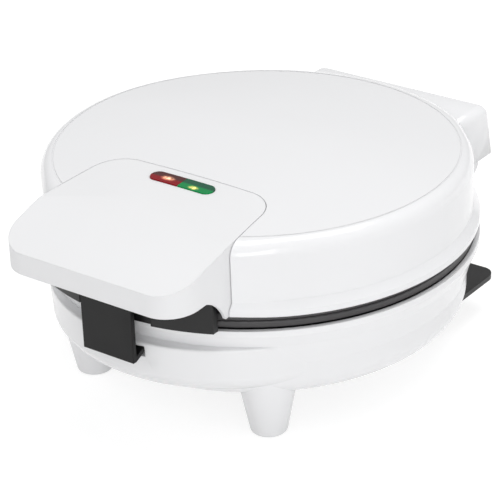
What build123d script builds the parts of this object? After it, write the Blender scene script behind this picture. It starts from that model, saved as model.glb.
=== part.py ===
from build123d import *
from math import cos, hypot, radians, sin, sqrt
import os

# Wafer maker: a round countertop cooker with a hinged lid, a hook latch and two wafer plates.
# The lid's axis stands upright. X runs along the hinge, the handle points to -Y and the hinge to +Y.
# All sizes are in millimetres. Heights named *_z are measured up from the surface the feet stand on.

# Heights
foot_height = 21.4          # surface to the flat floor of the base
base_depth = 47.6           # floor to the top edge of the base
plate_rim = 3.5             # thickness of each plate's visible rim
plate_gap = 0.3             # between the closed plates
seat_gap = 0.1              # between a plate's rim and its housing
lid_height = 42.0           # lip of the lid to the crown of its top

# Lid
lip_radius = 115.0
lid_wall_radius = 112.5
lid_top_radius = 104.0      # where the crowned top ends, at the ring groove
lid_crown = 5.0             # rise of the top from the groove to the middle
shoulder_drop = 7.5         # height of the rounded shoulder
lip_height = 3.0
flare_height = 3.0
lid_wall = 2.5
groove_width = 0.7
groove_depth = 0.5

# Handle
handle_reach = 139.0        # lid axis to the front of the handle
seam_reach = 52.0           # lid axis to the seam at the back of the handle cover
handle_half_back = 50.0
handle_half_middle = 56.0
handle_middle_setback = 35.0
handle_half_front = 55.0
handle_back_radius = 17.0
handle_front_radius = 17.0
handle_front_drop = 18.0    # crown of the lid to the top of the handle's front edge
handle_bend_length = 61.0   # the part of the handle that bends down
handle_front_height = 12.5
handle_side_lift = 1.5      # the lower edge rises by this at the sides
handle_arch_setback = 22.0
handle_arch_length = 14.0
handle_wall = 2.0
seam_gap = 0.35
ledge_width = 3.0
ledge_thickness = 1.8
handle_screw_setback = 11.25
handle_screw_inset = 8.5

# Lamp window
window_length = 38.4
window_width = 8.6
window_reach = 61.5         # lid axis to the middle of the window
lens_clearance = 0.12
lens_rise = 0.6
lens_depth = 3.2
lamp_radius = 2.6
lamp_length = 13.0
lamp_wall = 1.6

# Housing under the handle
guard_radius = 120.0        # outside of the heat guard in front of the plates
guard_thickness = 3.4
guard_back = 1.4            # thinner wall behind the latch
guard_drop = 7.0            # lip of the lid to the lower edge of the guard
guard_half_width = 52.0
latch_bay_half = 22.0
underside_thickness = 2.2

# Latch
latch_half_width = 15.5
latch_thickness = 2.5
latch_reach = 124.5         # lid axis to the front face of the latch
latch_pivot_reach = 122.0
latch_pivot_rise = 5.5      # lip of the lid to the latch pin
latch_boss_radius = 3.8
latch_pin_radius = 1.5
latch_drop = 26.5           # lip of the lid to the bottom of the latch
hook_length = 7.5
hook_rise = 3.6
hook_thickness = 2.8
ear_gap = 0.5
ear_thickness = 3.5
pin_clearance = 0.06

# Base
base_rim_radius = 114.0
base_rim_height = 3.4
collar_radius = 111.0
collar_drop = 10.0
base_side_radius = 107.5
base_side_top = 22.0        # top edge of the base down to its straight side
base_side_bottom = 29.6     # top edge of the base down to the start of its round bottom
base_round = 37.5           # horizontal reach of the round bottom
base_wall = 2.5
chin_offset = 24.0          # lid axis to the centre of the front chin
chin_radius = 94.0
chin_drop = 10.2            # top edge of the base down to the crescent ledge
chin_side = 15.8
chin_taper = 1.0
chin_round = 47.0
chin_round_height = 17.2
chin_edge = 1.0
vent_count = 8
vent_length = 22.0
vent_width = 3.0
vent_reach = 30.0

# Catch pocket behind the latch
catch_side_clearance = 1.5
catch_lip = 2.0
catch_height = 10.0
catch_depth = 6.0

# Feet
foot_x = 56.0
foot_clearance = 0.6
foot_y = 72.0
foot_bottom_radius = 9.2
foot_top_radius = 15.6
foot_edge = 2.0
foot_flare_height = 36.0
pad_radius = 6.0
pad_thickness = 2.0
pad_proud = 0.5
pad_clearance = 0.15

# Hinge
hinge_reach = 124.0         # lid axis to the hinge pin
hinge_drop = 8.0            # lip of the lid down to the hinge pin
hinge_pin_radius = 2.0
knuckle_radius = 7.0
hinge_box_reach = 139.0
hinge_box_half = 57.5
hinge_box_front = 80.0
hinge_box_rise = 19.0       # lip of the lid up to the top of the hinge box
hinge_box_drop = 5.0        # lip of the lid down to its lower edge
hinge_box_taper = 6.0
hinge_box_radius = 5.0
hinge_box_edge = 3.0
hinge_side_gap = 0.7
post_outer = 53.5
post_width = 16.0
post_neck_back = 2.5        # the post's back edge stands this far in front of the pin
post_neck_drop = 13.5
post_foot_drop = 37.0
lid_ear_width = 10.0
lid_ear_gap = 0.6

# Cooking plates
plate_body_radius = 107.0
plate_body_depth = 4.4
cavity_radius = 98.0
cavity_depth = 0.6
pattern_pitch = 14.0
pattern_rib = 2.2
pattern_height = 0.6
heater_ring_radius = 70.0
heater_tube_radius = 3.3
heater_clearance = 0.15
heater_gap_angle = 40.0
heater_tail = 15.0
heater_tail_radius = 2.2
plate_boss_radius = 5.5
plate_boss_height = 8.0
plate_boss_reach = 88.0
plate_boss_count = 3
rim_screw_count = 4
rim_screw_reach = 105.0

# Reflectors
reflector_radius = 97.0
reflector_depth = 7.5
reflector_wall = 0.8

# Fasteners
screw_radius = 2.0
screw_head_radius = 3.8
screw_head_height = 2.4
screw_clearance = 0.1
small_screw_radius = 1.5
small_head_radius = 2.8
small_head_height = 1.6
small_screw_depth = 8.0
drive_slot = 0.9
pillar_radius = 6.0
boss_radius = 4.5
lid_boss_radius = 6.0
lid_boss_height = 12.0
stake_radius = 1.2
screw_grip = 5.0            # plastic under the head of a plate screw

# Rear fittings
wrap_half_width = 84.0
wrap_reach = 100.0
wrap_front = 52.0
wrap_thickness = 3.0
wrap_corner = 7.0
wrap_screw_x = 30.0
wrap_screw_y = 60.0
gland_radius = 6.0
gland_bore = 3.8
gland_flange = 8.5
gland_length = 9.0
gland_z = 34.0

# Inner electrical pieces
thermostat_radius = 9.5
thermostat_height = 8.0
thermostat_bracket = 26.0
fuse_radius = 2.6
fuse_length = 30.0
fuse_reach = 34.0
terminal_size = (34.0, 16.0, 14.0)
terminal_reach = 69.0

# Derived places
floor_z = foot_height
base_top_z = floor_z + base_depth
lower_rim_z = base_top_z + seat_gap
parting_z = lower_rim_z + plate_rim
upper_rim_z = parting_z + plate_gap
lip_z = upper_rim_z + plate_rim + seat_gap
crown_z = lip_z + lid_height
groove_z = crown_z - lid_crown
hinge_y = hinge_reach
hinge_z = lip_z - hinge_drop
latch_pivot_y = -latch_pivot_reach
latch_pivot_z = lip_z + latch_pivot_rise
chin_z = base_top_z - chin_drop
middle_y = (handle_reach - hinge_box_reach) / 2
handle_middle_reach = handle_reach - handle_middle_setback
handle_bend_start = handle_reach - handle_bend_length
handle_arch_reach = handle_reach - handle_arch_setback
handle_arch_end = handle_arch_reach - handle_arch_length
crown_sphere = (lid_top_radius ** 2 + lid_crown ** 2) / (2 * lid_crown)
crown_centre_z = crown_z - crown_sphere
big = 2 * handle_reach


def solid_of_revolution(*edges):
    """Turn a closed outline, drawn as (radius, height), about the lid's axis."""
    return revolve(Plane.XZ * make_face(list(edges)), Axis.Z)


def side_plate(outline, x_low, x_high):
    """Extrude a face drawn as (y, z) from x_low to x_high."""
    face = Plane.YZ.offset(x_low) * outline
    return extrude(face, x_high - x_low, dir=(1, 0, 0))


def mirrored(shape):
    """The shape and its mirror image across the YZ plane."""
    return [shape, mirror(shape, Plane.YZ)]


def cylinder_up(radius, bottom, top, x=0.0, y=0.0):
    return Pos(x, y, (bottom + top) / 2) * Cylinder(radius, top - bottom)


def cylinder_across(radius, x_low, x_high, y, z):
    return Pos((x_low + x_high) / 2, y, z) * Rot(0, 90, 0) * Cylinder(radius, x_high - x_low)


def cylinder_back(radius, y_low, y_high, z):
    return Pos(0, (y_low + y_high) / 2, z) * Rot(90, 0, 0) * Cylinder(radius, y_high - y_low)


def block(x_low, x_high, y_low, y_high, z_low, z_high):
    size = (x_high - x_low, y_high - y_low, z_high - z_low)
    middle = ((x_high + x_low) / 2, (y_high + y_low) / 2, (z_high + z_low) / 2)
    return Pos(*middle) * Box(*size)


def polar_places(count, reach, start):
    return [(reach * cos(radians(start + 360 * i / count)),
             reach * sin(radians(start + 360 * i / count))) for i in range(count)]


def crown_height(radius):
    """Height of the lid's crowned top at a distance from its axis."""
    return crown_centre_z + sqrt(crown_sphere ** 2 - radius ** 2)


def lid_form(inset):
    """The lid's outer form, drawn in by inset on every side but the open lower one."""
    wall = lid_wall_radius - inset
    lip = lip_radius - inset
    edge_z = groove_z - inset
    shoulder_z = groove_z - shoulder_drop
    half = lid_top_radius / 2
    return solid_of_revolution(
        ThreePointArc((0, crown_z - inset), (half, crown_height(half) - inset), (lid_top_radius, edge_z)),
        EllipticalCenterArc((lid_top_radius, shoulder_z), wall - lid_top_radius, edge_z - shoulder_z,
                            0, arc_size=90),
        Line((wall, shoulder_z), (wall, lip_z + lip_height + flare_height)),
        Line((wall, lip_z + lip_height + flare_height), (lip, lip_z + lip_height)),
        Line((lip, lip_z + lip_height), (lip, lip_z)),
        Line((lip, lip_z), (0, lip_z)),
        Line((0, lip_z), (0, crown_z - inset)))


def handle_outline(grow):
    """Plan of the handle cover: its seam on the lid, its sides and its front."""
    half = [(handle_half_back, -seam_reach), (handle_half_middle, -handle_middle_reach),
            (handle_half_front, -handle_reach)]
    points = half + [(-x, y) for x, y in reversed(half)]
    face = make_face(Polyline(*points, close=True))
    backs = face.vertices().filter_by(lambda v: v.Y > -seam_reach - 1)
    face = fillet(backs, handle_back_radius)
    fronts = face.vertices().filter_by(lambda v: v.Y < -handle_reach + 1)
    face = fillet(fronts, handle_front_radius)
    return offset(face, grow) if grow else face


def handle_prism(grow, bottom=lip_z - guard_drop):
    return Pos(0, 0, bottom) * extrude(handle_outline(grow), big)


def handle_form(inset):
    """The space under the handle's top: the lid's crown, bent down towards the front in one arc."""
    start_y, start_z = -handle_bend_start, crown_height(handle_bend_start)
    front_y, front_z = -handle_reach, crown_z - handle_front_drop
    step_y, step_z = front_y - start_y, front_z - start_z
    normal_y, normal_z = -start_y / crown_sphere, (crown_centre_z - start_z) / crown_sphere
    bend = (step_y ** 2 + step_z ** 2) / (2 * (step_y * normal_y + step_z * normal_z))
    roll = cylinder_across(bend - inset, -lip_radius, lip_radius,
                           start_y + bend * normal_y, start_z + bend * normal_z)
    bottom = lip_z - guard_drop - 1
    top = crown_z + 1
    ball = Pos(0, 0, crown_centre_z) * Sphere(crown_sphere - inset)
    room = block(-lip_radius, lip_radius, -handle_reach - 1, 0, bottom, top)
    behind = block(-lip_radius, lip_radius, -handle_bend_start, 0, bottom, top)
    return (room & ball) & (roll + behind)


def window_place():
    return Pos(0, -window_reach, 0)


def build_handle_cover():
    """The white cover of the handle, let into the lid, with its side walls and its lamp window."""
    outer = handle_prism(0) & handle_form(0)
    skin = outer - handle_form(handle_wall)
    wall = (outer - handle_prism(-handle_wall)) - cylinder_up(lid_top_radius, 0, big)
    wall -= cylinder_up(lid_wall_radius - lid_wall, 0, groove_z - shoulder_drop - handle_wall)
    side_z = lip_z + handle_front_height
    lift_z = side_z + handle_side_lift
    mid_reach = (handle_arch_reach + handle_arch_end) / 2
    below = make_face([
        Line((-handle_arch_end, lip_z), (-handle_arch_end, 0)),
        Line((-handle_arch_end, 0), (-big, 0)),
        Line((-big, 0), (-big, side_z)),
        Line((-big, side_z), (-handle_reach, side_z)),
        Line((-handle_reach, side_z), (-handle_arch_reach, lift_z)),
        ThreePointArc((-handle_arch_reach, lift_z), (-mid_reach, lip_z + 0.7 * (lift_z - lip_z)),
                      (-handle_arch_end, lip_z))])
    wall = wall - side_plate(below, -big, big)
    wall = wall - block(-big, big, -big, 0, 0, lip_z)
    window = window_place() * Pos(0, 0, lip_z) * extrude(SlotOverall(window_length, window_width), big)
    return skin + wall + handle_bosses() + tray_bosses() - window


def build_lens(side):
    """One lamp lens: half of the rounded window, standing a little proud of the cover."""
    slot = SlotOverall(window_length - 2 * lens_clearance, window_width - 2 * lens_clearance)
    half = Pos(side * window_length / 2, 0) * Rectangle(window_length - lens_clearance, window_width)
    prism = window_place() * Pos(0, 0, lip_z) * extrude(slot & half, big)
    return prism & (handle_form(-lens_rise) - handle_form(lens_depth))


def lamp_tray_z():
    return crown_height(window_reach) - lens_depth - 1.0


def tray_stake_places():
    reach = window_length / 2 + lamp_wall + 2 * stake_radius + 1
    return [(-reach, -window_reach), (reach, -window_reach)]


def tray_bosses():
    """The two bosses under the cover, whose stakes go through the tray's lugs."""
    bosses = Part()
    for x, y in tray_stake_places():
        bosses += cylinder_up(3 * stake_radius, lamp_tray_z(), crown_z, x, y)
    bosses = bosses & handle_form(handle_wall / 2)
    for x, y in tray_stake_places():
        bosses += cylinder_up(stake_radius, lamp_tray_z() - 2 * lamp_wall, lamp_tray_z() + 1, x, y)
    return bosses


def build_lamp_holder():
    """The white tray that carries both lamps under the window."""
    top = lamp_tray_z()
    half_length = window_length / 2 + lamp_wall
    half_width = window_width / 2 + lamp_wall
    bottom = top - 2 * lamp_radius - 2 * lamp_wall
    lug_length = 2 * (half_length + 6 * stake_radius)
    lugs = Pos(0, 0, top - lamp_wall) * extrude(SlotOverall(lug_length, 6 * stake_radius), lamp_wall)
    tray = lugs + block(-half_length, half_length, -half_width, half_width, bottom, top)
    well = window_length / 4 - lamp_wall / 2
    for side in (-1, 1):
        middle = side * window_length / 4
        tray -= block(middle - well, middle + well, lamp_wall - half_width, half_width - lamp_wall,
                      bottom + lamp_wall, top + 1)
    tray = window_place() * tray
    for x, y in tray_stake_places():
        tray -= cylinder_up(stake_radius + pin_clearance, 0, big, x, y)
    return tray


def build_neon_lamps():
    """Two small glass lamps lying in the tray."""
    z = lamp_tray_z() - lamp_wall - lamp_radius
    lamps = []
    for side in (-1, 1):
        middle = side * window_length / 4
        lamp = cylinder_across(lamp_radius, middle - lamp_length / 2, middle + lamp_length / 2,
                               -window_reach, z)
        lamps.append(fillet(lamp.edges(), lamp_radius * 0.6))
    return Compound(lamps)


def hinge_box(inset):
    """The box on the back of the lid that covers the hinge, with tapered sides."""
    bottom = lip_z - hinge_box_drop
    top = lip_z + hinge_box_rise - inset
    half = hinge_box_half - inset
    back = hinge_box_reach - inset
    plan = Pos(0, (hinge_box_front + back) / 2) * RectangleRounded(2 * half, back - hinge_box_front,
                                                                  hinge_box_radius)
    return Pos(0, 0, bottom) * extrude(plan, top - bottom, taper=hinge_box_taper)


def hinge_bore():
    return cylinder_across(hinge_pin_radius + pin_clearance, -hinge_box_half, hinge_box_half,
                           hinge_y, hinge_z)


def build_lid_housing():
    """The white lid: crowned top, groove ring, flared lip, hinge box and the ledge for the handle cover."""
    inner = lid_form(lid_wall)
    box = hinge_box(0)
    top_edges = box.edges().filter_by(lambda e: e.center().Z > lip_z + hinge_box_rise - 0.1)
    box = fillet(top_edges, hinge_box_edge) - hinge_box(lid_wall) - lid_form(0)
    box -= cylinder_up(lip_radius + hinge_side_gap, 0, lip_z)
    groove = cylinder_up(lid_top_radius + groove_width / 2, groove_z - groove_depth, crown_z)
    groove -= cylinder_up(lid_top_radius - groove_width / 2, 0, crown_z + 1)
    lid = lid_form(0) - inner - groove
    lid -= handle_prism(seam_gap)
    seat = handle_wall + seam_gap
    ledge = handle_form(seat) - handle_form(seat + ledge_thickness)
    ledge = ledge & (handle_prism(ledge_width) - handle_prism(-ledge_width))
    ledge = ledge & cylinder_up(lid_top_radius - 1, lip_z, big) & lid_form(lid_wall / 2)
    lid = lid + ledge + box
    boss_top = upper_seat_z() + lid_boss_height
    for x, y in lid_screw_places():
        lid += cylinder_up(lid_boss_radius, upper_seat_z(), boss_top, x, y) & lid_form(lid_wall / 2)
        lid -= cylinder_up(small_screw_radius + screw_clearance, 0, boss_top - lid_wall, x, y)
    for ear in mirrored(build_lid_ear()):
        lid += ear
    lid -= hinge_bore()
    return lid


def upper_seat_z():
    """Underside of the lid's bosses, just above the back of the upper plate."""
    return upper_rim_z + plate_rim + plate_body_depth + seat_gap


def lid_screw_places():
    return polar_places(rim_screw_count, rim_screw_reach, 180 / rim_screw_count)


def post_inner():
    return post_outer - post_width


def build_lid_ear():
    """One of the two ears inside the hinge box that turn on the hinge pin."""
    high = post_inner() - lid_ear_gap
    top = lip_z + hinge_box_rise - lid_wall / 2
    ear = side_plate(Pos(hinge_y, hinge_z) * Circle(knuckle_radius), high - lid_ear_width, high)
    ear += block(high - lid_ear_width, high, hinge_y - knuckle_radius, hinge_y + knuckle_radius, hinge_z, top)
    return ear


def build_handle_underside():
    """The black housing under the handle: its floor, the heat guard and the ears of the latch pin."""
    floor_low = lip_z + handle_front_height
    gap = handle_wall + seam_gap
    outside = cylinder_up(lip_radius + 1, 0, big)
    plate = handle_prism(-gap, floor_low)
    plate = plate & block(-big, big, -big, 0, floor_low, floor_low + underside_thickness)
    plate -= outside
    inner_radius = guard_radius - guard_thickness
    low = lip_z - guard_drop
    ring = cylinder_up(guard_radius, low, floor_low + 1) - cylinder_up(inner_radius, 0, big)
    thick = ring & block(-guard_half_width, guard_half_width, -big, 0, 0, big)
    thick -= block(-latch_bay_half, latch_bay_half, -big, 0, 0, big)
    thin = cylinder_up(inner_radius + guard_back, low, floor_low + 1) - cylinder_up(inner_radius, 0, big)
    thin = thin & block(-latch_bay_half - 1, latch_bay_half + 1, -big, 0, 0, big)
    body = plate + thick + thin
    for ear in mirrored(build_latch_ear()):
        body += ear
    hole = latch_pin_radius + pin_clearance
    body -= cylinder_across(hole, -latch_bay_half, latch_bay_half, latch_pivot_y, latch_pivot_z)
    for x, y in handle_screw_places():
        body -= cylinder_up(small_screw_radius + screw_clearance, 0, big, x, y)
    return body


def build_latch_ear():
    inner = latch_half_width + ear_gap
    ear = side_plate(Pos(latch_pivot_y, latch_pivot_z) * Circle(latch_boss_radius),
                     inner, inner + ear_thickness)
    ear += block(inner, inner + ear_thickness, latch_pivot_y - latch_boss_radius,
                 latch_pivot_y + latch_boss_radius, latch_pivot_z, lip_z + handle_front_height + 1)
    return ear


def handle_screw_places():
    x = handle_half_front - handle_screw_inset
    y = handle_screw_setback - handle_reach
    return [(-x, y), (x, y)]


def build_screw(length, radius, head_radius, head_height):
    """A round-head screw standing head down on z = 0, with a cross recess."""
    screw = cylinder_up(head_radius, 0, head_height) + cylinder_up(radius, head_height, head_height + length)
    for turn in (0, 90):
        slot = Rot(0, 0, turn) * Box(head_radius * 1.2, drive_slot, head_height)
        screw -= slot
    return screw


def build_handle_screws():
    """The screws that hold the housing in the bosses of the handle cover."""
    seat = lip_z + handle_front_height - small_head_height
    length = underside_thickness + small_screw_depth - 0.5
    screw = build_screw(length, small_screw_radius, small_head_radius, small_head_height)
    return Compound([Pos(x, y, seat) * screw for x, y in handle_screw_places()])


def handle_bosses():
    """The bosses under the handle cover that take the housing's screws."""
    bottom = lip_z + handle_front_height + underside_thickness
    bosses = Part()
    for x, y in handle_screw_places():
        bosses += cylinder_up(boss_radius, bottom, crown_z, x, y)
    bosses = bosses & handle_form(handle_wall / 2)
    for x, y in handle_screw_places():
        bosses -= cylinder_up(small_screw_radius + screw_clearance, 0, bottom + small_screw_depth, x, y)
    return bosses


def build_latch():
    """The black hook: a flat plate on a boss, with a foot that rises under the base's ledge."""
    bottom = lip_z - latch_drop
    front, back = -latch_reach, -latch_reach + latch_thickness
    tip = back + hook_length
    foot = make_face(Polyline(
        (front, bottom), (back, bottom), (tip, bottom + hook_rise),
        (tip, bottom + hook_rise + hook_thickness),
        (back, bottom + hook_thickness), (back, latch_pivot_z), (front, latch_pivot_z), close=True))
    latch = side_plate(foot, -latch_half_width, latch_half_width)
    latch += cylinder_across(latch_boss_radius, -latch_half_width, latch_half_width,
                             latch_pivot_y, latch_pivot_z)
    hole = latch_pin_radius + pin_clearance
    return latch - cylinder_across(hole, -big, big, latch_pivot_y, latch_pivot_z)


def build_latch_pin():
    reach = latch_half_width + ear_gap + ear_thickness
    return cylinder_across(latch_pin_radius, -reach, reach, latch_pivot_y, latch_pivot_z)


def base_form(inset):
    """The base's outer form, drawn in by inset."""
    side_z = base_top_z - base_side_bottom
    round_height = side_z - floor_z - inset
    inner = base_side_radius - base_round
    side = base_side_radius - inset
    top_z = base_top_z
    rim = base_rim_radius - inset
    collar = collar_radius - inset
    return solid_of_revolution(
        Line((0, floor_z + inset), (inner, floor_z + inset)),
        EllipticalCenterArc((inner, side_z), side - inner, round_height, -90, arc_size=90),
        Line((side, side_z), (side, top_z - base_side_top)),
        Line((side, top_z - base_side_top), (collar, top_z - collar_drop)),
        Line((collar, top_z - collar_drop), (rim, top_z - base_rim_height)),
        Line((rim, top_z - base_rim_height), (rim, top_z)),
        Line((rim, top_z), (0, top_z)),
        Line((0, top_z), (0, floor_z + inset)))


def chin_form(inset):
    """The fuller front of the base, whose top edge is the crescent ledge."""
    ledge = chin_z - inset
    side_z = chin_z - chin_side
    inner = chin_radius - chin_round
    side = chin_radius - chin_taper - inset
    form = solid_of_revolution(
        Line((0, side_z - chin_round_height + inset), (inner, side_z - chin_round_height + inset)),
        EllipticalCenterArc((inner, side_z), side - inner, chin_round_height - inset, -90, arc_size=90),
        Line((side, side_z), (chin_radius - inset, ledge)),
        Line((chin_radius - inset, ledge), (0, ledge)),
        Line((0, ledge), (0, side_z - chin_round_height + inset)))
    if not inset:
        crease = form.edges().filter_by(GeomType.CIRCLE).sort_by(Axis.Z)[-1]
        form = fillet(crease, chin_edge)
    return Pos(0, -chin_offset, 0) * form


def build_foot(x, y):
    """One conical foot, moulded to the base, with a recess for its pad."""
    top = pad_proud + foot_flare_height
    cone = Pos(x, y, pad_proud) * Solid.make_cone(foot_bottom_radius, foot_top_radius, foot_flare_height)
    low = cone.edges().sort_by(Axis.Z)[0]
    cone = fillet(low, foot_edge)
    recess = pad_thickness - pad_proud + pad_clearance
    return cone - cylinder_up(pad_radius + pad_clearance, 0, pad_proud + recess, x, y)


def foot_places():
    return [(x, y) for x in (-foot_x, foot_x) for y in (-foot_y, foot_y)]


def post_outline():
    """Side view of a hinge post, drawn as (y, z): a gusset on the base that ends in the knuckle."""
    root = base_side_radius - base_round / 2
    neck_y = hinge_y - post_neck_back
    gusset = make_face(Polyline(
        (root, base_top_z - base_rim_height), (hinge_y - 2, hinge_z + knuckle_radius - 0.5),
        (hinge_y + knuckle_radius - 0.5, hinge_z - 2), (neck_y, hinge_z - post_neck_drop),
        (base_side_radius, hinge_z - post_foot_drop), (root, hinge_z - post_foot_drop), close=True))
    return gusset + Pos(hinge_y, hinge_z) * Circle(knuckle_radius)


def build_base_housing():
    """The white bowl of the base with its chin, feet, hinge posts, pillars and catch pocket."""
    outer = base_form(0) + chin_form(0)
    hollow = base_form(base_wall) + chin_form(base_wall)
    shell = outer - hollow
    half = latch_half_width + catch_side_clearance
    front = -chin_offset - chin_radius
    pocket_top = chin_z - catch_lip
    pocket = block(-half, half, front - 2, front + catch_depth, pocket_top - catch_height, pocket_top)
    liner = block(-half - base_wall, half + base_wall, front - 2, front + catch_depth + base_wall,
                  pocket_top - catch_height - base_wall, chin_z - 1)
    shell += liner & outer
    shell -= pocket
    for x, y in foot_places():
        shell += build_foot(x, y) - hollow
    post = side_plate(post_outline(), post_inner(), post_outer) - hollow
    post -= cylinder_up(lip_radius + 1, base_top_z, big)
    for piece in mirrored(post):
        shell += piece
    for x, y in plate_screw_places():
        shell += cylinder_up(pillar_radius, floor_z + 1, pillar_top_z(), x, y)
        shell -= cylinder_up(screw_radius + screw_clearance, 0, big, x, y)
        shell -= cylinder_up(screw_head_radius + 0.6, 0, pillar_top_z() - screw_grip, x, y)
    shell -= hinge_bore()
    for x, y in wrap_screw_places():
        shell += cylinder_up(boss_radius, floor_z + 1, floor_z + 9, x, y)
        shell -= cylinder_up(small_screw_radius + screw_clearance, 0, floor_z + 8, x, y)
    shell += cylinder_back(gland_flange + 1, base_side_radius - 8, gland_seat_y(), gland_z) - hollow
    shell -= cylinder_back(gland_radius + pin_clearance, base_side_radius - 12, gland_seat_y() + 1, gland_z)
    for i in range(vent_count):
        angle = 360 / vent_count * (i + 0.5)
        slot = extrude(SlotOverall(vent_length, vent_width), 3 * base_wall)
        shell -= Rot(0, 0, angle) * Pos(vent_reach, 0, floor_z - base_wall) * slot
    return shell


def plate_screw_places():
    return polar_places(plate_boss_count, plate_boss_reach, 90)


def lower_boss_z():
    """Underside of the lower plate's bosses."""
    return lower_rim_z - plate_body_depth - plate_boss_height


def pillar_top_z():
    return lower_boss_z() - reflector_wall - 2 * seat_gap


def wrap_screw_places():
    return [(-wrap_screw_x, wrap_screw_y), (wrap_screw_x, wrap_screw_y)]


def gland_seat_y():
    return base_side_radius + 1.5


def build_foot_pads():
    pad = cylinder_up(pad_radius, 0, pad_thickness)
    pad = fillet(pad.edges().sort_by(Axis.Z)[0], 0.4)
    return Compound([Pos(x, y, 0) * pad for x, y in foot_places()])


def pattern_pockets():
    """The wafer grid: square pockets, turned by 45 degrees, that lie whole inside the cavity."""
    side = pattern_pitch - pattern_rib
    count = int(cavity_radius // pattern_pitch)
    pocket = Pos(0, 0, -pattern_height / 2) * Box(side, side, pattern_height)
    rows = [i * pattern_pitch for i in range(-count, count + 1)]
    return [Rot(0, 0, 45) * Pos(x, y, 0) * pocket for x in rows for y in rows
            if hypot(abs(x) + side / 2, abs(y) + side / 2) < cavity_radius - pattern_rib]


def build_plate():
    """A cooking plate lying face up, the lower side of its rim on z = 0."""
    top = plate_rim
    back = -plate_body_depth
    plate = fillet(cylinder_up(lip_radius, 0, top).edges().sort_by(Axis.Z)[-1], 0.8)
    plate += cylinder_up(plate_body_radius, back, top / 2)
    plate -= cylinder_up(cavity_radius, top - cavity_depth, top + 1)
    plate -= [Pos(0, 0, top - cavity_depth) * pocket for pocket in pattern_pockets()]
    for x, y in plate_screw_places():
        plate += cylinder_up(plate_boss_radius, back - plate_boss_height, 0, x, y)
        plate -= cylinder_up(screw_radius + screw_clearance, back - plate_boss_height, back + 1, x, y)
    return plate - Pos(0, 0, heater_z()) * heater_tube(heater_clearance)


def heater_z():
    """Middle of the heater tube, which lies half in the back of the plate."""
    return -plate_body_depth - heater_tube_radius / 3


def heater_ring(grow):
    """The round stretch of the heater, drawn about z = 0 and opening towards the rear."""
    start = 90 + heater_gap_angle / 2
    path = CenterArc((0, 0), heater_ring_radius, start, 360 - heater_gap_angle)
    section = Plane(path @ 0, z_dir=path % 0) * Circle(heater_tube_radius + grow)
    return sweep(section, path=path)


def heater_tail_places():
    angles = [radians(90 + side * heater_gap_angle / 2) for side in (-1, 1)]
    return [(heater_ring_radius * cos(angle), heater_ring_radius * sin(angle)) for angle in angles]


def heater_tube(grow):
    """The ring of the heater with its rounded ends."""
    tube = heater_ring(grow)
    for x, y in heater_tail_places():
        tube += Pos(x, y, 0) * Sphere(heater_tube_radius + grow)
    return tube


def build_heater():
    """The tubular heater with its two tails, which stand away from the plate."""
    heater = heater_tube(0)
    for x, y in heater_tail_places():
        heater += cylinder_up(heater_tail_radius, -heater_tail, 0, x, y)
    return Pos(0, 0, heater_z()) * heater


def build_reflector():
    """The bright pan behind the heater, open in the middle for the thermostat and over the tails."""
    low = -plate_body_depth - plate_boss_height - seat_gap
    outer = cylinder_up(reflector_radius, low - reflector_wall, low + reflector_depth)
    inner = cylinder_up(reflector_radius - reflector_wall, low, low + reflector_depth + 1)
    outer = fillet(outer.edges().sort_by(Axis.Z)[0], 3 * reflector_wall)
    inner = fillet(inner.edges().sort_by(Axis.Z)[0], 2 * reflector_wall)
    pan = outer - inner - cylinder_up(thermostat_bracket, -big, 0)
    for x, y in heater_tail_places():
        pan -= cylinder_up(2 * heater_tail_radius, -big, 0, x, y)
    for x, y in plate_screw_places():
        pan -= cylinder_up(screw_radius + screw_clearance, -big, 0, x, y)
    return pan


def on_lower_plate(shape):
    return Pos(0, 0, lower_rim_z) * shape


def on_upper_plate(shape):
    """Turn a piece of the plate stack over for the lid, mirrored front to back."""
    return Pos(0, 0, upper_rim_z + plate_rim) * mirror(shape, Plane.XY)


def build_upper_plate():
    """The lid's plate, with countersunk holes for the screws in its rim."""
    plate = on_upper_plate(build_plate())
    for x, y in lid_screw_places():
        plate -= cylinder_up(small_screw_radius + screw_clearance, 0, big, x, y)
        plate -= rim_screw_head(screw_clearance, x, y)
    return plate


def rim_screw_head(grow, x, y):
    """The countersunk head, flush with the face of the rim."""
    wide, narrow = small_head_radius + grow, small_screw_radius + grow
    head = Solid.make_cone(wide, narrow, small_head_height)
    return Pos(x, y, upper_rim_z) * head


def build_rim_screws():
    screws = []
    top = upper_seat_z() + lid_boss_height - lid_wall - 1
    for x, y in lid_screw_places():
        screw = rim_screw_head(0, x, y) + cylinder_up(small_screw_radius, upper_rim_z + 1, top, x, y)
        screw -= Pos(x, y, upper_rim_z) * Box(1.4 * small_head_radius, drive_slot, small_head_height)
        screws.append(screw)
    return Compound(screws)


def build_plate_screws():
    """The screws that come up through the base's pillars into the lower plate."""
    head_z = pillar_top_z() - screw_grip - screw_head_height
    length = screw_grip + reflector_wall + plate_boss_height
    screw = build_screw(length, screw_radius, screw_head_radius, screw_head_height)
    return Compound([Pos(x, y, head_z) * screw for x, y in plate_screw_places()])


def build_reflector_screws():
    """The screws that hold the upper reflector on the bosses of the upper plate."""
    screw = build_screw(plate_boss_height - 1, screw_radius, screw_head_radius, screw_head_height)
    depth = plate_body_depth + plate_boss_height + seat_gap + reflector_wall + screw_head_height
    top = upper_rim_z + plate_rim + depth
    return Compound([Pos(x, y, top) * Rot(180, 0, 0) * screw for x, y in plate_screw_places()])


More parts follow.
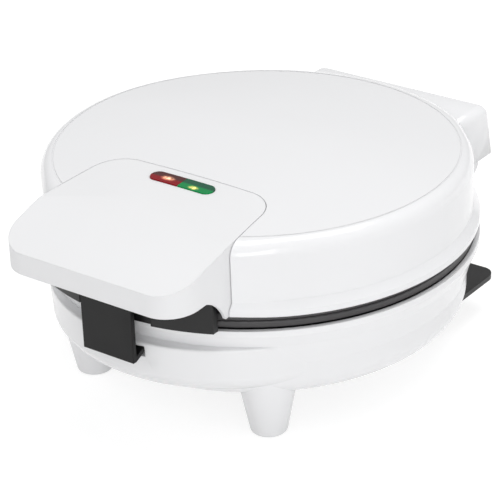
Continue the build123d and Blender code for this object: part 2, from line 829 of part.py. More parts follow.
def build_thermostat():
    """The bimetal thermostat on its strap, against the back of the lower plate."""
    back = lower_rim_z - plate_body_depth
    strap_half = thermostat_bracket - 4
    body = cylinder_up(thermostat_radius, back - thermostat_height, back)
    body += block(-strap_half, strap_half, -5, 5, back - 1.2, back)
    body += cylinder_up(thermostat_radius - 3, back - thermostat_height - 3, back - thermostat_height + 1)
    for side in (-1, 1):
        body += block(side * 5 - 0.4, side * 5 + 0.4, -3, 3,
                      back - thermostat_height - 9, back - thermostat_height)
    return body


def build_thermal_fuse():
    """The thermal fuse in its clip, against the back of the lower plate."""
    back = lower_rim_z - plate_body_depth
    z = back - fuse_radius - 1
    fuse = cylinder_across(fuse_radius, -fuse_length / 2, fuse_length / 2, fuse_reach, z)
    clip = block(-4, 4, fuse_reach - fuse_radius - 1, fuse_reach + fuse_radius + 1, z - fuse_radius - 1, back)
    clip += block(-4, 4, fuse_reach, fuse_reach + 3 * fuse_radius, back - 1, back)
    return fuse + clip


def build_terminal_block():
    """The block on the floor of the base where the leads are joined."""
    length, width, height = terminal_size
    low = floor_z + base_wall
    body = block(-length / 2, length / 2, terminal_reach - width, terminal_reach, low, low + height)
    pitch = length / 3
    for i in (-1, 0, 1):
        body -= cylinder_up(pitch / 4, low + height / 2, big, i * pitch, terminal_reach - width / 2)
        hole = Rot(90, 0, 0) * Cylinder(pitch / 5, 2 * width)
        body -= Pos(i * pitch, terminal_reach, low + height / 3) * hole
    return body


def build_cord_gland():
    """The bush in the back wall for the mains lead."""
    seat = gland_seat_y()
    bush = cylinder_back(gland_radius, seat - gland_length, seat + 1, gland_z)
    bush += cylinder_back(gland_flange, seat, seat + 2, gland_z)
    return bush - cylinder_back(gland_bore, seat - big, seat + big, gland_z)


def build_cord_wrap():
    """The black plate under the back of the base that the lead is wound behind."""
    depth = wrap_reach - wrap_front
    plan = Pos(0, (wrap_reach + wrap_front) / 2) * RectangleRounded(2 * wrap_half_width, depth, wrap_corner)
    plate = Pos(0, 0, floor_z - wrap_thickness) * extrude(plan, wrap_thickness)
    height = floor_z - pad_proud
    radius = foot_bottom_radius + (foot_top_radius - foot_bottom_radius) * height / foot_flare_height
    for x in (-foot_x, foot_x):
        plate -= cylinder_up(radius + foot_clearance, 0, big, x, foot_y)
    for x, y in wrap_screw_places():
        plate -= cylinder_up(small_screw_radius + screw_clearance, 0, big, x, y)
    for x, y in plate_screw_places():
        plate -= cylinder_up(screw_head_radius + 1, 0, big, x, y)
    return plate


def build_wrap_screws():
    head_z = floor_z - wrap_thickness - small_head_height
    length = wrap_thickness + small_screw_depth - 0.5
    screw = build_screw(length, small_screw_radius, small_head_radius, small_head_height)
    return Compound([Pos(x, y, head_z) * screw for x, y in wrap_screw_places()])


def build_hinge_pin():
    return cylinder_across(hinge_pin_radius, -post_outer, post_outer, hinge_y, hinge_z)


pieces = {
    "base_housing": build_base_housing,
    "foot_pads": build_foot_pads,
    "lower_plate": lambda: on_lower_plate(build_plate()),
    "lower_heater": lambda: on_lower_plate(build_heater()),
    "lower_reflector": lambda: on_lower_plate(build_reflector()),
    "lower_plate_screws": build_plate_screws,
    "thermostat": build_thermostat,
    "thermal_fuse": build_thermal_fuse,
    "terminal_block": build_terminal_block,
    "cord_gland": build_cord_gland,
    "cord_wrap": build_cord_wrap,
    "cord_wrap_screws": build_wrap_screws,
    "hinge_pin": build_hinge_pin,
    "lid_housing": build_lid_housing,
    "handle_cover": build_handle_cover,
    "handle_underside": build_handle_underside,
    "handle_screws": build_handle_screws,
    "lens_red": lambda: build_lens(-1),
    "lens_green": lambda: build_lens(1),
    "lamp_holder": build_lamp_holder,
    "neon_lamps": build_neon_lamps,
    "upper_plate": build_upper_plate,
    "upper_heater": lambda: on_upper_plate(build_heater()),
    "upper_reflector": lambda: on_upper_plate(build_reflector()),
    "reflector_screws": build_reflector_screws,
    "rim_screws": build_rim_screws,
    "latch_pin": build_latch_pin,
    "latch": build_latch,
}


def main():
    os.makedirs("parts", exist_ok=True)
    for name, build in pieces.items():
        export_step(Pos(0, middle_y, 0) * build(), f"parts/{name}.step")


if __name__ == "__main__":
    main()
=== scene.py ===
from math import cos, hypot, radians, sin, sqrt

import bmesh
import bpy
from mathutils import Matrix, Vector


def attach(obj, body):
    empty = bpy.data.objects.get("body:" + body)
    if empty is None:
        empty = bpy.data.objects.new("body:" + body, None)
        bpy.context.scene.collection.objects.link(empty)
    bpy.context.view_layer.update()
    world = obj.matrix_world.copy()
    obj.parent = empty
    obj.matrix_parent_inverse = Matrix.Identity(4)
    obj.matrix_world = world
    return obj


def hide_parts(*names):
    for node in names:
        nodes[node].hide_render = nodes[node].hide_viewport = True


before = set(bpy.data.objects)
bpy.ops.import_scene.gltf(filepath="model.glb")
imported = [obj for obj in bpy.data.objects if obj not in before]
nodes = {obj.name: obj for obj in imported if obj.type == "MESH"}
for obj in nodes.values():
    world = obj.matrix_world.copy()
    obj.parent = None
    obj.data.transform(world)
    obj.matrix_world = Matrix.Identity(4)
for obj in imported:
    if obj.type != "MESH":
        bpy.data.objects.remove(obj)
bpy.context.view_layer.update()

# Camera: the unit and the level are in metres, the distance is in units, angles are in degrees, and the
# focus, the axis and the image size are in pixels
CAMERA_UNIT = 0.116035
CAMERA_LEVEL = 0.0763
CAMERA_TURN = 37.1322
CAMERA_RISE = 26.9068
CAMERA_ROLL = -2.0520
CAMERA_DISTANCE = 9.82428
CAMERA_FOCUS = 2203.5747
CAMERA_AXIS_PIXEL = (258.6243, 210.9013)
IMAGE_SIZE = 500
SENSOR_WIDTH = 36.0
CLIP_NEAR = 0.05
CLIP_FAR = 60.0

# Light: a pale studio, and a floor that looks brighter to the camera than it lights the object
WORLD_LEVEL = 0.555
FLOOR_SIZE = 12.0
FLOOR_GLOW = 0.78
FLOOR_DIFFUSE = 0.4
FLOOR_BOUNCE = 0.8
LAMP_TARGET = (0, 0, 0.05)
LAMPS = {                           # place, size and power
    "overhead": ((0.2, 0.3, 2.2), 1.4, 21.5),
    "left_window": ((-1.6, -1.6, 0.9), 1.2, 0.5),
    "front_window": ((1.5, -1.8, 0.4), 1.1, 15.5),
    "right_window": ((2.2, -0.6, 0.7), 1.2, 1.0),
}

# Surfaces in general
EDGE_ROUND = 0.0006
EDGE_SAMPLES = 6
CREASE_ANGLE = 28.0
NOISE_LOW = 0.35                    # most values of a noise texture lie between these two
NOISE_HIGH = 0.65
CLOUD_SCALE = 9.0
CLOUD_DETAIL = 3.0
PATCH_SCALE = 60.0
PATCH_DETAIL = 4.0
GLOSS_SPREAD = 0.12
GRAIN_DETAIL = 3.0
GRAIN_ROUGHNESS = 0.6
COAT_ROUGHNESS = 0.06
WHITE_VARIATION = 0.006
BLACK_VARIATION = 0.06

# Grain of each kind of surface: scale of the noise and height in metres
LID_GRAIN = (900.0, 0.000004)
BASE_GRAIN = (900.0, 0.000005)
HANDLE_GRAIN = (2600.0, 0.000016)
MATT_GRAIN = (2600.0, 0.00002)
RUBBER_GRAIN = (2000.0, 0.00004)
COATING_GRAIN = (3200.0, 0.00002)
FITTING_GRAIN = (1500.0, 0.00001)
SHEATH_GRAIN = (1200.0, 0.00002)
SHEET_GRAIN = (700.0, 0.00001)
PIN_GRAIN = (1500.0, 0.000005)
SCREW_GRAIN = (1500.0, 0.000008)

# Colours
LID_WHITE = (0.9, 0.902, 0.915)
BASE_WHITE = (0.9, 0.902, 0.914)
HANDLE_WHITE = (0.87, 0.872, 0.883)
BLACK = (0.007, 0.007, 0.0073)
COATED = (0.05, 0.048, 0.05)
PAD_GREY = (0.06, 0.06, 0.06)
GLAND_GREY = (0.03, 0.03, 0.03)
HOLDER_WHITE = (0.75, 0.75, 0.73)
TERMINAL_CREAM = (0.72, 0.7, 0.62)
THERMOSTAT_STEEL = (0.6, 0.6, 0.61)
FUSE_BRASS = (0.7, 0.58, 0.33)
SHEATH_BROWN = (0.22, 0.2, 0.19)
SHEET_STEEL = (0.8, 0.8, 0.82)
PIN_STEEL = (0.6, 0.6, 0.6)
SCREW_ZINC = (0.62, 0.62, 0.6)

# Lenses, paler over their back half with a painted reflection, and the lamps behind them, whose light is a
# painted glow
LENS_REFLECTION_Y = -0.0609               # behind this the lens is ribbed and paler, the paleness a painted reflection
LENS_DEEP_Y = -0.0623               # in front of this it has its full colour
LENS_SPECKLE_SCALE = 200.0
LENS_GLOSS = (0.1, 0.16)
LENS_SHINE = 0.12
RIB_SCALE = 320.0
RIB_DISTORTION = 1.0
RIB_SHADE = 0.6
RIB_HEIGHT = 0.00008
# the lamp's light as a painted glow on the lens: its stretch, speckle and strength
GLOW_STRETCH = (1.5, 0.8, 2.0)
GLOW_SPECKLE_SCALE = 700.0
GLOW_SPECKLE_DETAIL = 1.0
GLOW_STRENGTH = (1.2, 4.5)
GLASS_CLOUD_SCALE = 500.0
GLASS_COLORS = ((1.0, 0.72, 0.5), (1.0, 0.82, 0.66))
GLASS_GLOSS = (0.04, 0.1)

# A point belongs to a level or a side when it lies within this of it
POINT_TOLERANCE = 0.0001

# Cover over the hinge: corners of its side as depth and height, half widths and roundings
COVER_SIDE = ((0.1006, 0.0718), (0.1006, 0.0775), (0.096, 0.083),
              (0.093, 0.0984), (0.139, 0.0984), (0.139, 0.0718))
COVER_TOP_FRONT, COVER_TOP_BACK, COVER_LOW_BACK = 3, 4, 5
COVER_HALF_BOTTOM = 0.0592
COVER_HALF_TOP = 0.0555
COVER_ROUND = 0.0055
COVER_ROUND_STEPS = 7
COVER_THICKNESS = 0.0016

# Lid: its ring groove and side wall, and how much slimmer the side wall is away from the handle
LID_TOP_RADIUS = 0.104
LID_WALL_RADIUS = 0.1125
LIP_TOP_Z = 0.0795
FLARE_TOP_Z = 0.0825
CROWN_Z = 0.1185
LIP_SLIM = 0.001
WALL_SLIM = 0.002
LIP_LOWER = 0.001
BACK_LOWER = 0.0023                 # the back of the crowned top sits this much lower
GROOVE_WIDTH = 0.0009
GROOVE_FLOOR_Z = (0.1123, 0.1133)   # the groove's floor lies between these heights
GROOVE_FILL = 0.00032
HANDLE_HALF = 0.058
SLIM_FADE = 0.022

# Base: each level of the solid housing with the level that the photograph shows
BASE_LEVELS = ((0.0, 0.0), (0.0214, 0.0192), (0.0394, 0.0378), (0.059, 0.058), (0.069, 0.0681))
FLOOR_Z = 0.0214
FLOOR_RADIUS = 0.07
ROUND_TOP_Z = 0.0394
ROUND_REACH = 0.0375
PILLAR_REACH = 0.088
PILLAR_ANGLES = (-30, 90, 210)
PILLAR_RADIUS = 0.0062

# Catch pocket: half width and levels of the solid's opening, and the tighter opening round the hook
POCKET_HALF = 0.017
POCKET_HALF_TIGHT = 0.0157
POCKET_BACK_Y = -0.105
POCKET_LEVELS = (0.0453, 0.0558)
POCKET_LOW_Z = 0.0498

# Plates: where their rims begin, how much of the rim's width stays, and the upper rim's lower edge
PLATE_RIM_START = 0.105
PLATE_RIM_SHARE = 0.66
UPPER_RIM_LOW_Z = 0.0738
UPPER_RIM_LOWER = 0.0002


def make_camera():
    """The camera that took the photograph, fitted to the rings of the lid and the base."""
    turn, rise, roll = radians(CAMERA_TURN), radians(CAMERA_RISE), radians(CAMERA_ROLL)
    back = Vector((sin(turn) * cos(rise), -cos(turn) * cos(rise), sin(rise)))
    level = Vector((cos(turn), sin(turn), 0))
    upward = back.cross(level)
    right = cos(roll) * level + sin(roll) * upward
    up = -sin(roll) * level + cos(roll) * upward
    middle = IMAGE_SIZE / 2
    shift_right = (CAMERA_AXIS_PIXEL[0] - middle) / CAMERA_FOCUS * CAMERA_DISTANCE
    shift_up = -(CAMERA_AXIS_PIXEL[1] - middle) / CAMERA_FOCUS * CAMERA_DISTANCE
    place = (-shift_right * right - shift_up * up + CAMERA_DISTANCE * back) * CAMERA_UNIT
    place += Vector((0, 0, CAMERA_LEVEL))
    data = bpy.data.cameras.new("camera")
    data.sensor_width = SENSOR_WIDTH
    data.lens = CAMERA_FOCUS / IMAGE_SIZE * SENSOR_WIDTH
    data.clip_start = CLIP_NEAR
    data.clip_end = CLIP_FAR
    camera = bpy.data.objects.new("camera", data)
    bpy.context.scene.collection.objects.link(camera)
    camera.matrix_world = Matrix((
        (right.x, up.x, back.x, place.x),
        (right.y, up.y, back.y, place.y),
        (right.z, up.z, back.z, place.z),
        (0, 0, 0, 1)))
    bpy.context.scene.camera = camera


def new_material(name):
    material = bpy.data.materials.new(name)
    material.use_nodes = True
    return material, material.node_tree.nodes, material.node_tree.links


def noise(tree_nodes, links, scale, detail=2.0, roughness=0.5):
    """A noise texture in object space, so its scale is the same on every piece."""
    place = tree_nodes.new("ShaderNodeTexCoord")
    texture = tree_nodes.new("ShaderNodeTexNoise")
    texture.inputs["Scale"].default_value = scale
    texture.inputs["Detail"].default_value = detail
    texture.inputs["Roughness"].default_value = roughness
    links.new(place.outputs["Object"], texture.inputs["Vector"])
    return texture.outputs["Fac"]


def spread(tree_nodes, links, source, low, high, start=NOISE_LOW, end=NOISE_HIGH):
    """Map the values from start to end to the range from low to high."""
    node = tree_nodes.new("ShaderNodeMapRange")
    node.inputs["From Min"].default_value = start
    node.inputs["From Max"].default_value = end
    node.inputs["To Min"].default_value = low
    node.inputs["To Max"].default_value = high
    links.new(source, node.inputs["Value"])
    return node.outputs["Result"]


def tint(tree_nodes, links, source, first, second):
    """Mix two colours by a noise value."""
    ramp = tree_nodes.new("ShaderNodeValToRGB")
    ramp.color_ramp.elements[0].position = NOISE_LOW
    ramp.color_ramp.elements[1].position = NOISE_HIGH
    ramp.color_ramp.elements[0].color = (*first, 1)
    ramp.color_ramp.elements[1].color = (*second, 1)
    links.new(source, ramp.inputs["Fac"])
    return ramp.outputs["Color"]


def moulded(name, color, gloss, grain, variation=0.02, coat=0.0, metal=0.0, level=0.5):
    """A moulded or metal surface: slight colour and gloss variation, fine grain and soft edges."""
    material, tree_nodes, links = new_material(name)
    shader = tree_nodes["Principled BSDF"]
    cloud = noise(tree_nodes, links, CLOUD_SCALE, CLOUD_DETAIL)
    darker = tuple(c * (1 - variation) for c in color)
    lighter = tuple(min(1.0, c * (1 + variation)) for c in color)
    links.new(tint(tree_nodes, links, cloud, darker, lighter), shader.inputs["Base Color"])
    patch = noise(tree_nodes, links, PATCH_SCALE, PATCH_DETAIL)
    roughness = spread(tree_nodes, links, patch, gloss * (1 - GLOSS_SPREAD), gloss * (1 + GLOSS_SPREAD))
    links.new(roughness, shader.inputs["Roughness"])
    shader.inputs["Metallic"].default_value = metal
    shader.inputs["Specular IOR Level"].default_value = level
    shader.inputs["Coat Weight"].default_value = coat
    shader.inputs["Coat Roughness"].default_value = COAT_ROUGHNESS
    edge = tree_nodes.new("ShaderNodeBevel")
    edge.samples = EDGE_SAMPLES
    edge.inputs["Radius"].default_value = EDGE_ROUND
    grain_scale, grain_height = grain
    bump = tree_nodes.new("ShaderNodeBump")
    bump.inputs["Strength"].default_value = 1.0
    bump.inputs["Distance"].default_value = grain_height
    links.new(noise(tree_nodes, links, grain_scale, GRAIN_DETAIL, GRAIN_ROUGHNESS), bump.inputs["Height"])
    links.new(edge.outputs["Normal"], bump.inputs["Normal"])
    links.new(bump.outputs["Normal"], shader.inputs["Normal"])
    return material


def distance_mask(tree_nodes, links, place, radius, stretch):
    """1 at a place in the object's frame, falling smoothly to 0 at radius times stretch."""
    here = tree_nodes.new("ShaderNodeTexCoord")
    shift = tree_nodes.new("ShaderNodeMapping")
    shift.vector_type = "TEXTURE"
    shift.inputs["Location"].default_value = place
    shift.inputs["Scale"].default_value = tuple(radius * s for s in stretch)
    fade = tree_nodes.new("ShaderNodeTexGradient")
    fade.gradient_type = "QUADRATIC_SPHERE"
    links.new(here.outputs["Object"], shift.inputs["Vector"])
    links.new(shift.outputs["Vector"], fade.inputs["Vector"])
    return fade.outputs["Fac"]


def lens_material(name, clear, deep, glow, glow_place, glow_radius):
    """A clear coloured lens over a lit lamp: ribbed, its back half paled by a painted reflection, and a
    painted glow spot.
    """
    material, tree_nodes, links = new_material(name)
    shader = tree_nodes["Principled BSDF"]
    place = tree_nodes.new("ShaderNodeTexCoord")
    across = tree_nodes.new("ShaderNodeSeparateXYZ")
    links.new(place.outputs["Object"], across.inputs["Vector"])
    # 1 over the front half, falling to 0 over the back half, which takes the paler colour of a painted
    # reflection
    half = spread(tree_nodes, links, across.outputs["Y"], 1.0, 0.0, LENS_DEEP_Y, LENS_REFLECTION_Y)
    ribs = tree_nodes.new("ShaderNodeTexWave")
    ribs.bands_direction = "Y"
    ribs.inputs["Scale"].default_value = RIB_SCALE
    ribs.inputs["Distortion"].default_value = RIB_DISTORTION
    links.new(place.outputs["Object"], ribs.inputs["Vector"])
    # the back half's colour: clear, paled for a painted reflection, with darker stripes for the ribs
    pale = tint(tree_nodes, links, ribs.outputs["Fac"], clear, tuple(RIB_SHADE * c for c in clear))
    blend = tree_nodes.new("ShaderNodeMix")
    blend.data_type = "RGBA"
    links.new(half, blend.inputs["Factor"])
    links.new(pale, blend.inputs["A"])
    blend.inputs["B"].default_value = (*deep, 1)
    links.new(blend.outputs["Result"], shader.inputs["Base Color"])
    speckle = noise(tree_nodes, links, LENS_SPECKLE_SCALE)
    links.new(spread(tree_nodes, links, speckle, *LENS_GLOSS), shader.inputs["Roughness"])
    shader.inputs["Specular IOR Level"].default_value = LENS_SHINE
    # painted glow: the lens itself emits a spot of light for the lit lamp behind it
    spot = distance_mask(tree_nodes, links, glow_place, glow_radius, GLOW_STRETCH)
    sparkle = noise(tree_nodes, links, GLOW_SPECKLE_SCALE, GLOW_SPECKLE_DETAIL)
    strength = tree_nodes.new("ShaderNodeMath")
    strength.operation = "MULTIPLY"
    links.new(spot, strength.inputs[0])
    links.new(spread(tree_nodes, links, sparkle, *GLOW_STRENGTH), strength.inputs[1])
    shader.inputs["Emission Color"].default_value = (*glow, 1)
    links.new(strength.outputs["Value"], shader.inputs["Emission Strength"])
    bump = tree_nodes.new("ShaderNodeBump")
    bump.inputs["Distance"].default_value = RIB_HEIGHT
    links.new(ribs.outputs["Fac"], bump.inputs["Height"])
    links.new(bump.outputs["Normal"], shader.inputs["Normal"])
    return material


def glass_material():
    material, tree_nodes, links = new_material("lamp_glass")
    shader = tree_nodes["Principled BSDF"]
    shader.inputs["Transmission Weight"].default_value = 1.0
    cloud = noise(tree_nodes, links, GLASS_CLOUD_SCALE)
    links.new(tint(tree_nodes, links, cloud, *GLASS_COLORS), shader.inputs["Base Color"])
    links.new(spread(tree_nodes, links, cloud, *GLASS_GLOSS), shader.inputs["Roughness"])
    return material


materials = {
    "lid_housing": moulded("lid_plastic", LID_WHITE, 0.16, LID_GRAIN, WHITE_VARIATION, coat=0.3),
    "base_housing": moulded("base_plastic", BASE_WHITE, 0.24, BASE_GRAIN, WHITE_VARIATION, coat=0.15),
    "handle_cover": moulded("handle_plastic", HANDLE_WHITE, 0.4, HANDLE_GRAIN, WHITE_VARIATION),
    "handle_underside": moulded("guard_plastic", BLACK, 0.42, MATT_GRAIN, BLACK_VARIATION, level=0.4),
    "latch": moulded("latch_plastic", BLACK, 0.4, MATT_GRAIN, BLACK_VARIATION, level=0.25),
    "cord_wrap": moulded("wrap_plastic", BLACK, 0.36, MATT_GRAIN, BLACK_VARIATION, level=0.4),
    "foot_pads": moulded("pad_rubber", PAD_GREY, 0.75, RUBBER_GRAIN, 0.12),
    "cord_gland": moulded("gland_rubber", GLAND_GREY, 0.7, RUBBER_GRAIN, 0.12),
    "lower_plate": moulded("lower_coating", COATED, 0.38, COATING_GRAIN, 0.1),
    "upper_plate": moulded("upper_coating", COATED, 0.38, COATING_GRAIN, 0.1),
    # clear is the paler colour of each lens's back half, a painted reflection; glow is the painted glow of
    # its lamp
    "lens_red": lens_material("red_lens", clear=(0.11, 0.03, 0.028), deep=(0.26, 0.003, 0.008),
                              glow=(1.0, 0.5, 0.3), glow_place=(-0.0085, -0.0618, 0.1165),
                              glow_radius=0.0034),
    "lens_green": lens_material("green_lens", clear=(0.02, 0.13, 0.07), deep=(0.003, 0.26, 0.07),
                                glow=(1.0, 0.72, 0.2), glow_place=(0.0085, -0.0637, 0.1165),
                                glow_radius=0.0026),
    "lamp_holder": moulded("holder_plastic", HOLDER_WHITE, 0.5, FITTING_GRAIN),
    "neon_lamps": glass_material(),
    "terminal_block": moulded("terminal_plastic", TERMINAL_CREAM, 0.5, FITTING_GRAIN),
    "thermostat": moulded("thermostat_metal", THERMOSTAT_STEEL, 0.35, FITTING_GRAIN, metal=1.0),
    "thermal_fuse": moulded("fuse_metal", FUSE_BRASS, 0.3, FITTING_GRAIN, metal=1.0),
}
for heater in ("lower_heater", "upper_heater"):
    materials[heater] = moulded(heater + "_sheath", SHEATH_BROWN, 0.45, SHEATH_GRAIN, 0.2, metal=1.0)
for pan in ("lower_reflector", "upper_reflector"):
    materials[pan] = moulded(pan + "_sheet", SHEET_STEEL, 0.18, SHEET_GRAIN, 0.03, metal=1.0)
for pin in ("hinge_pin", "latch_pin"):
    materials[pin] = moulded(pin + "_steel", PIN_STEEL, 0.25, PIN_GRAIN, 0.04, metal=1.0)
for screws in ("lower_plate_screws", "cord_wrap_screws", "handle_screws", "reflector_screws", "rim_screws"):
    materials[screws] = moulded(screws + "_zinc", SCREW_ZINC, 0.28, SCREW_GRAIN, 0.05, metal=1.0)


def shade_smooth(mesh):
    """Smooth shading over curved faces, with sharp edges where faces meet at an angle."""
    for polygon in mesh.polygons:
        polygon.use_smooth = True
    mesh.set_sharp_from_angle(angle=radians(CREASE_ANGLE))


def dress_nodes():
    """Give each CAD node its material and its shading."""
    for name, node in nodes.items():
        node.data.materials.clear()
        node.data.materials.append(materials[name])
        shade_smooth(node.data)


def smooth_step(value):
    value = min(1.0, max(0.0, value))
    return value * value * (3 - 2 * value)


def slim_lid(x, y, z):
    """A slimmer side wall, a slightly lower lip, a shallower groove and a lower back of the crown.

    Near the handle and the hinge cover the wall and the lip keep the solid's form.
    """
    reach = hypot(x, y)
    away = smooth_step((abs(x) - HANDLE_HALF) / SLIM_FADE)
    outward = min(1.0, max(0.0, (reach - LID_TOP_RADIUS) / (LID_WALL_RADIUS - LID_TOP_RADIUS)))
    up = smooth_step((z - LIP_TOP_Z) / (FLARE_TOP_Z - LIP_TOP_Z))
    slim = away * outward * (LIP_SLIM + (WALL_SLIM - LIP_SLIM) * up)
    factor = (reach - slim) / reach if reach else 1.0
    floor_low, floor_high = GROOVE_FLOOR_Z
    if abs(reach - LID_TOP_RADIUS) < GROOVE_WIDTH / 2 and floor_low < z < floor_high:
        z += GROOVE_FILL
    tilt = smooth_step(y / LID_TOP_RADIUS) * max(0.0, (z - FLARE_TOP_Z) / (CROWN_Z - FLARE_TOP_Z))
    return x * factor, y * factor, z - LIP_LOWER * away * outward * (1 - up) - BACK_LOWER * tilt


def base_level(z):
    """A height of the solid housing moved to the height that the photograph shows."""
    for (low, low_to), (high, high_to) in zip(BASE_LEVELS, BASE_LEVELS[1:]):
        if z <= high:
            return low_to + (z - low) * (high_to - low_to) / (high - low)
    return z + high_to - high


def settle_base(x, y, z):
    """The housing's levels moved, its screw pillars flush, and its catch pocket tight round the hook."""
    place = Vector((x, y, base_level(z)))
    share = (hypot(x, y) - FLOOR_RADIUS) / ROUND_REACH
    for angle in PILLAR_ANGLES:
        away = hypot(x - PILLAR_REACH * cos(radians(angle)), y - PILLAR_REACH * sin(radians(angle)))
        if away < PILLAR_RADIUS and 0 < share < 1:
            underside = ROUND_TOP_Z - (ROUND_TOP_Z - FLOOR_Z) * sqrt(1 - share ** 2)
            place.z = max(place.z, base_level(underside))
    low, high = POCKET_LEVELS
    if abs(x) < POCKET_HALF + POINT_TOLERANCE and y < POCKET_BACK_Y and low < place.z < high:
        place.z = POCKET_LOW_Z + (place.z - low) * (high - POCKET_LOW_Z) / (high - low)
        if abs(x) > POCKET_HALF_TIGHT:
            place.x = POCKET_HALF_TIGHT if x > 0 else -POCKET_HALF_TIGHT
    return place


def trim_lower_plate(x, y, z):
    """The plate's rim a little inside the lip of the lid."""
    reach = hypot(x, y)
    if reach <= PLATE_RIM_START:
        return x, y, z
    factor = (PLATE_RIM_START + (reach - PLATE_RIM_START) * PLATE_RIM_SHARE) / reach
    return x * factor, y * factor, z


def trim_upper_plate(x, y, z):
    """The same for the upper plate, with the lower edge of its rim a little nearer to the lower rim."""
    lower = UPPER_RIM_LOWER if hypot(x, y) > PLATE_RIM_START and z < UPPER_RIM_LOW_Z else 0.0
    return trim_lower_plate(x, y, z - lower)


def reshaped(node_name, name, body, place):
    """A copy of a node's form with each of its points put where place says, standing for that node."""
    mesh = nodes[node_name].data.copy()
    mesh.name = name
    for vertex in mesh.vertices:
        vertex.co = Vector(place(*vertex.co))
    piece = bpy.data.objects.new(name, mesh)
    bpy.context.scene.collection.objects.link(piece)
    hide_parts(node_name)
    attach(piece, body)


def make_hinge_cover():
    """The broad rounded cover at the back of the lid, over the hinge: a shell open below and in front."""
    mesh = bmesh.new()
    open_y, low = COVER_SIDE[0]
    high = COVER_SIDE[COVER_TOP_FRONT][1]
    rows = []
    for side in (-1, 1):
        row = []
        for y, z in COVER_SIDE:
            half = COVER_HALF_BOTTOM + (COVER_HALF_TOP - COVER_HALF_BOTTOM) * (z - low) / (high - low)
            row.append(mesh.verts.new((side * half, y, z)))
        rows.append(row)
    left, right = rows
    mesh.faces.new(list(reversed(left)))
    mesh.faces.new(right)
    count = len(COVER_SIDE)
    for i in range(count):
        j = (i + 1) % count
        mesh.faces.new((left[i], left[j], right[j], right[i]))
    bmesh.ops.recalc_face_normals(mesh, faces=mesh.faces)
    rounded = []
    for row in rows:
        rounded.append(mesh.edges.get((row[COVER_TOP_FRONT], row[COVER_TOP_BACK])))
        rounded.append(mesh.edges.get((row[COVER_TOP_BACK], row[COVER_LOW_BACK])))
    rounded.append(mesh.edges.get((left[COVER_TOP_BACK], right[COVER_TOP_BACK])))
    bmesh.ops.bevel(mesh, geom=rounded, offset=COVER_ROUND, segments=COVER_ROUND_STEPS, profile=0.5,
                    affect="EDGES")
    hidden = [face for face in mesh.faces
              if all(vertex.co.z < low + POINT_TOLERANCE for vertex in face.verts)
              or all(vertex.co.y < open_y + POINT_TOLERANCE for vertex in face.verts)]
    bmesh.ops.delete(mesh, geom=hidden, context="FACES")
    bmesh.ops.triangulate(mesh, faces=[face for face in mesh.faces if len(face.verts) > 4])
    data = bpy.data.meshes.new("hinge_cover")
    mesh.to_mesh(data)
    mesh.free()
    cover = bpy.data.objects.new("hinge_cover", data)
    bpy.context.scene.collection.objects.link(cover)
    wall = cover.modifiers.new("wall", "SOLIDIFY")
    wall.thickness = COVER_THICKNESS
    wall.offset = -1.0
    shade_smooth(data)
    data.materials.append(materials["lid_housing"])
    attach(cover, "lid")


def diffuse(tree_nodes, level):
    """A grey diffuse surface."""
    shader = tree_nodes.new("ShaderNodeBsdfDiffuse")
    shader.inputs["Color"].default_value = (level, level, level, 1)
    return shader.outputs["BSDF"]


def larger(tree_nodes, links, first, second):
    node = tree_nodes.new("ShaderNodeMath")
    node.operation = "MAXIMUM"
    links.new(first, node.inputs[0])
    links.new(second, node.inputs[1])
    return node.outputs["Value"]


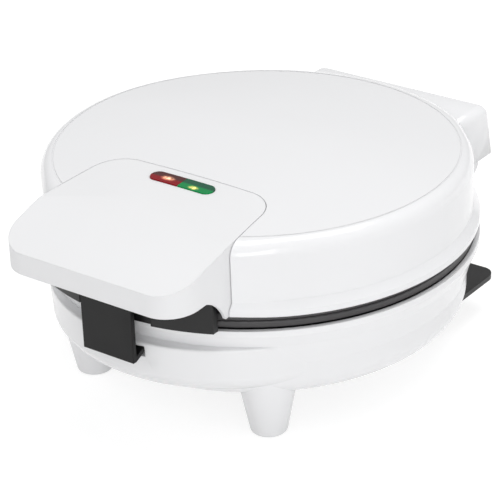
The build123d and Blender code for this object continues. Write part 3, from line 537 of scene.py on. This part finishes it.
def make_floor():
    """A pale floor that looks white to the camera and keeps the object's soft shadow."""
    bpy.ops.mesh.primitive_plane_add(size=FLOOR_SIZE, location=(0, 0, 0))
    floor = bpy.context.object
    floor.name = "floor"
    material, tree_nodes, links = new_material("floor")
    tree_nodes.remove(tree_nodes["Principled BSDF"])
    glow = tree_nodes.new("ShaderNodeEmission")
    glow.inputs["Strength"].default_value = FLOOR_GLOW
    lit = tree_nodes.new("ShaderNodeAddShader")
    links.new(diffuse(tree_nodes, FLOOR_DIFFUSE), lit.inputs[0])
    links.new(glow.outputs["Emission"], lit.inputs[1])
    path = tree_nodes.new("ShaderNodeLightPath")
    seen = larger(tree_nodes, links, path.outputs["Is Camera Ray"], path.outputs["Is Glossy Ray"])
    seen = larger(tree_nodes, links, seen, path.outputs["Is Transmission Ray"])
    mix = tree_nodes.new("ShaderNodeMixShader")
    links.new(seen, mix.inputs["Fac"])
    links.new(diffuse(tree_nodes, FLOOR_BOUNCE), mix.inputs[1])
    links.new(lit.outputs["Shader"], mix.inputs[2])
    links.new(mix.outputs["Shader"], tree_nodes["Material Output"].inputs["Surface"])
    floor.data.materials.append(material)


def make_world():
    """Even white light on the object, and a pale backdrop for the camera."""
    world = bpy.data.worlds.new("studio")
    bpy.context.scene.world = world
    world.use_nodes = True
    tree_nodes, links = world.node_tree.nodes, world.node_tree.links
    background = tree_nodes["Background"]
    background.inputs["Color"].default_value = (1, 1, 1, 1)
    background.inputs["Strength"].default_value = WORLD_LEVEL
    backdrop = tree_nodes.new("ShaderNodeBackground")
    backdrop.inputs["Strength"].default_value = 1.0
    path = tree_nodes.new("ShaderNodeLightPath")
    mix = tree_nodes.new("ShaderNodeMixShader")
    links.new(path.outputs["Is Camera Ray"], mix.inputs["Fac"])
    links.new(background.outputs["Background"], mix.inputs[1])
    links.new(backdrop.outputs["Background"], mix.inputs[2])
    links.new(mix.outputs["Shader"], tree_nodes["World Output"].inputs["Surface"])


def make_lamp(name, place, size, power):
    """A soft square studio lamp that faces the object."""
    data = bpy.data.lights.new(name, "AREA")
    data.shape = "SQUARE"
    data.size = size
    data.energy = power
    lamp = bpy.data.objects.new(name, data)
    bpy.context.scene.collection.objects.link(lamp)
    lamp.location = place
    lamp.rotation_euler = (Vector(LAMP_TARGET) - Vector(place)).to_track_quat("-Z", "Y").to_euler()


make_camera()
make_world()
make_floor()
for lamp_name, (lamp_place, lamp_size, lamp_power) in LAMPS.items():
    make_lamp(lamp_name, lamp_place, lamp_size, lamp_power)
dress_nodes()
reshaped("lid_housing", "lid_shell", "lid", slim_lid)
reshaped("base_housing", "base_shell", "base", settle_base)
reshaped("lower_plate_screws", "base_screws", "base", settle_base)
reshaped("upper_plate", "upper_grill", "lid", trim_upper_plate)
reshaped("lower_plate", "lower_grill", "base", trim_lower_plate)
make_hinge_cover()

bpy.context.scene.view_settings.view_transform = "Standard"
